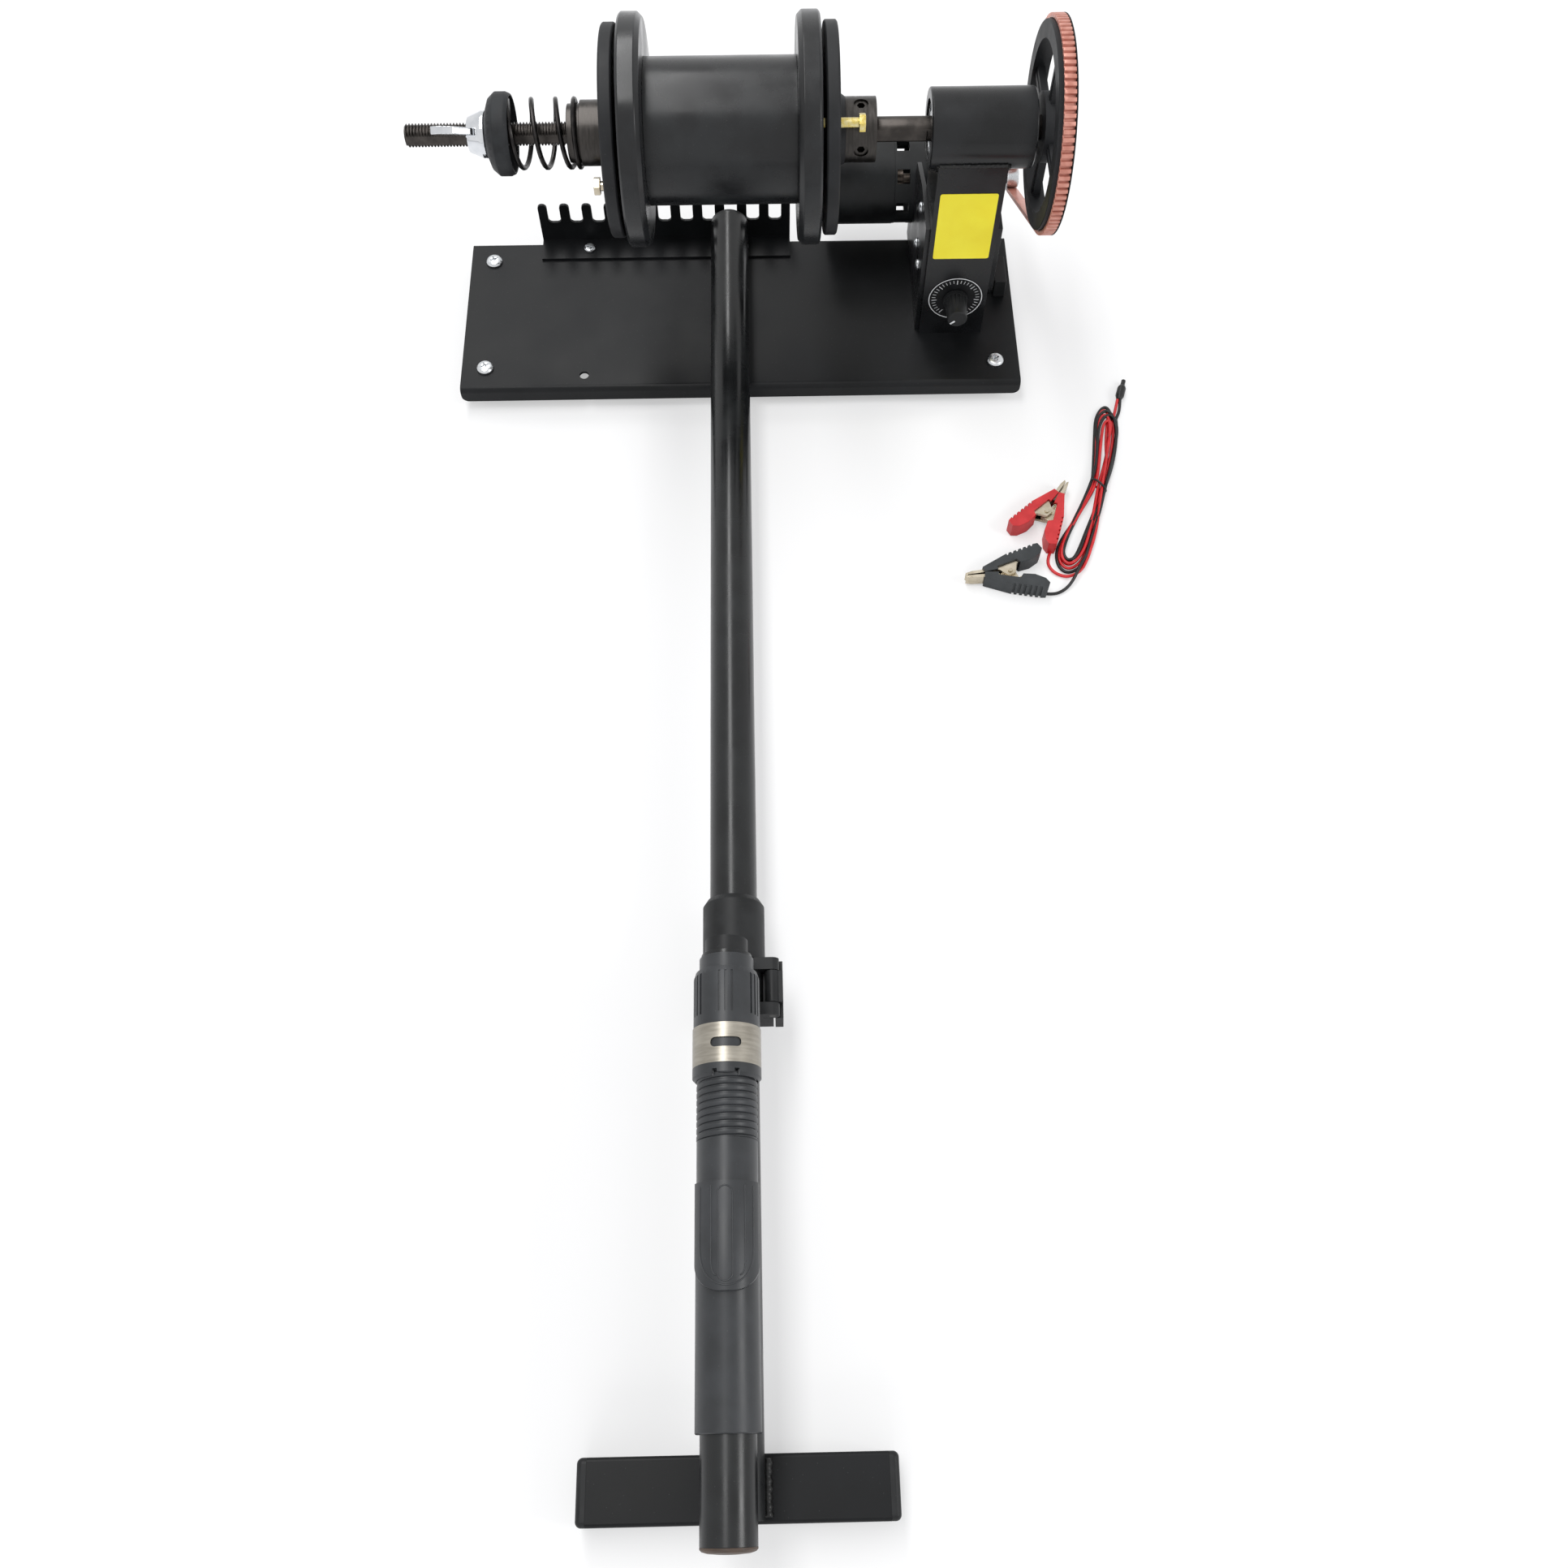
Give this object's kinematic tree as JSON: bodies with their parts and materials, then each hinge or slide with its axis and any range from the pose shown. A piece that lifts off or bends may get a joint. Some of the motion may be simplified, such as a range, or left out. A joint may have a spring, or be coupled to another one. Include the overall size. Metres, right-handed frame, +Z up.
{
  "type": "motorised fishing line winder",
  "caption": "Motorised fishing line winder: belt-driven spindle with clamped spool over a folded base plate, line comb, long arm with a reel seat, and a clip lead.",
  "frame": {"origin": "bottom centre of the winder's bounding box, without the loose battery lead, on the surface it stands on", "axes": "+Z up, -Y towards the user and the foot bar, +X along the spindle towards the drive wheel"},
  "size_m": [0.4875, 0.9135, 0.246],
  "materials": {
    "satin_black_plate": "satin powder coat",
    "gloss_black_tube": "gloss paint",
    "black_clamp": "satin",
    "dark_bronze_steel": "black oxide",
    "zinc_steel": "zinc plated",
    "black_screw": "black oxide",
    "black_rubber": "matte",
    "black_cap": "satin",
    "brown_plug": "satin",
    "reel_seat_plastic": "satin",
    "satin_silver": "satin",
    "bearing_steel": "polished",
    "disc_plastic": "matte",
    "yellow_zinc": "yellow zinc plated",
    "nickel": "nickel plated",
    "spool_plastic": "gloss",
    "spring_steel": "bright",
    "cup_rubber": "matte",
    "chrome_nut": "polished",
    "wheel_plastic": "satin",
    "copper_belt": "matte",
    "motor_black": "satin",
    "rotor_steel": "bare",
    "circuit_board": "satin",
    "knob_plastic": "satin",
    "inlet_plastic": "satin",
    "red_wire": "satin",
    "black_wire": "satin",
    "clip_metal": "nickel plated",
    "red_grip": "satin",
    "black_grip": "satin"
  },
  "bodies": {
    "base": {"base_plate": "satin_black_plate", "line_comb": "satin_black_plate", "arm_tube": "gloss_black_tube", "foot_bar": "gloss_black_tube", "seat_tube": "gloss_black_tube", "post": "gloss_black_tube", "bearing_housing": "gloss_black_tube", "motor_cheeks": "gloss_black_tube", "tube_saddles": "gloss_black_tube", "seat_clamp": "black_clamp", "pan_screws": "zinc_steel", "base_bolts": "zinc_steel", "clamp_lever_pin": "zinc_steel", "comb_screws": "black_screw", "rubber_feet": "black_rubber", "foot_bar_caps": "black_cap", "arm_end_cap": "black_cap", "seat_end_plug": "brown_plug", "reel_seat_body": "reel_seat_plastic", "bearing_outer_races": "bearing_steel", "bearing_balls": "bearing_steel", "drive_belt": "copper_belt", "motor_can": "motor_black", "motor_end_bell": "motor_black", "speed_control": "circuit_board", "power_inlet": "inlet_plastic", "dc_plug": "inlet_plastic", "lead_hank": "red_wire", "red_wire_tail": "red_wire", "black_wire_tail": "black_wire", "clip_lower_levers": "clip_metal", "clip_pins": "clip_metal", "red_clip_lower_grip": "red_grip", "black_clip_lower_grip": "black_grip"},
    "spindle": {"spindle_shaft": "dark_bronze_steel", "bearing_inner_races": "bearing_steel", "drive_wheel": "wheel_plastic", "spindle_screws": "zinc_steel", "clamp_disc_right": "disc_plastic", "collar_right": "dark_bronze_steel", "drive_bolt_right": "yellow_zinc", "spool_barrel": "spool_plastic", "spool_flanges": "spool_plastic"},
    "loose_disc": {"clamp_disc_left": "disc_plastic", "collar_left": "dark_bronze_steel", "drive_bolt_left": "nickel", "spring": "spring_steel"},
    "spring_cup": {"spring_cup": "cup_rubber"},
    "wing_nut": {"wing_nut": "chrome_nut"},
    "rotor": {"motor_rotor": "rotor_steel", "motor_pulley": "zinc_steel"},
    "knob": {"speed_knob": "knob_plastic"},
    "hood": {"sliding_hood": "reel_seat_plastic", "hood_ring": "satin_silver"},
    "lock_nut": {"lock_nut": "reel_seat_plastic"},
    "clamp_lever": {"clamp_lever": "black_clamp"},
    "red_clip": {"red_clip_upper_lever": "clip_metal", "red_clip_upper_grip": "red_grip"},
    "black_clip": {"black_clip_upper_lever": "clip_metal", "black_clip_upper_grip": "black_grip"}
  },
  "joints": [
    {"name": "spindle_spin", "type": "hinge", "parent": "base", "child": "spindle", "pos_m": [0.001, 0.34425, 0.178], "axis": [1, 0, 0], "continuous": true},
    {"name": "loose_disc_slide", "type": "slide", "parent": "spindle", "child": "loose_disc", "axis": [1, 0, 0], "range_m": [-0.009, 0], "deforming": ["spring"]},
    {"name": "cup_slide", "type": "slide", "parent": "spindle", "child": "spring_cup", "axis": [1, 0, 0], "range_m": [0, 0.012], "deforming": ["spring"]},
    {"name": "wing_nut_turn", "type": "hinge", "parent": "spring_cup", "child": "wing_nut", "pos_m": [0.001, 0.34425, 0.178], "axis": [1, 0, 0], "range_deg": [0, 2160]},
    {"name": "motor_spin", "type": "hinge", "parent": "base", "child": "rotor", "pos_m": [0.001, 0.42675, 0.065], "axis": [1, 0, 0], "continuous": true},
    {"name": "knob_turn", "type": "hinge", "parent": "base", "child": "knob", "pos_m": [0.1535, 0.32175, 0.054], "axis": [0, 1, 0], "range_deg": [0, 285]},
    {"name": "hood_slide", "type": "slide", "parent": "base", "child": "hood", "axis": [0, -1, 0], "range_m": [0, 0.03]},
    {"name": "lock_nut_turn", "type": "hinge", "parent": "hood", "child": "lock_nut", "pos_m": [-0.009, -0.19425, 0.078], "axis": [0, -1, 0], "range_deg": [0, 2400]},
    {"name": "clamp_lever_swing", "type": "hinge", "parent": "base", "child": "clamp_lever", "pos_m": [0.0155, -0.17725, 0.048], "axis": [0, -1, 0], "range_deg": [0, 110]},
    {"name": "red_clip_squeeze", "type": "hinge", "parent": "base", "child": "red_clip", "pos_m": [0.2105, 0.16975, 0.006], "axis": [0, 0, 1], "range_deg": [0, 30], "stiffness_Nm_per_rad": 0.06},
    {"name": "black_clip_squeeze", "type": "hinge", "parent": "base", "child": "black_clip", "pos_m": [0.181, 0.12175, 0.006], "axis": [0, 0, -1], "range_deg": [0, 30], "stiffness_Nm_per_rad": 0.06}
  ],
  "couplings": [
    {"joint": "motor_spin", "follows": "spindle_spin", "ratio": 9.0441},
    {"joint": "wing_nut_turn", "follows": "cup_slide", "rad_per_m": 3141.6},
    {"joint": "lock_nut_turn", "follows": "hood_slide", "rad_per_m": 1396.3}
  ]
}
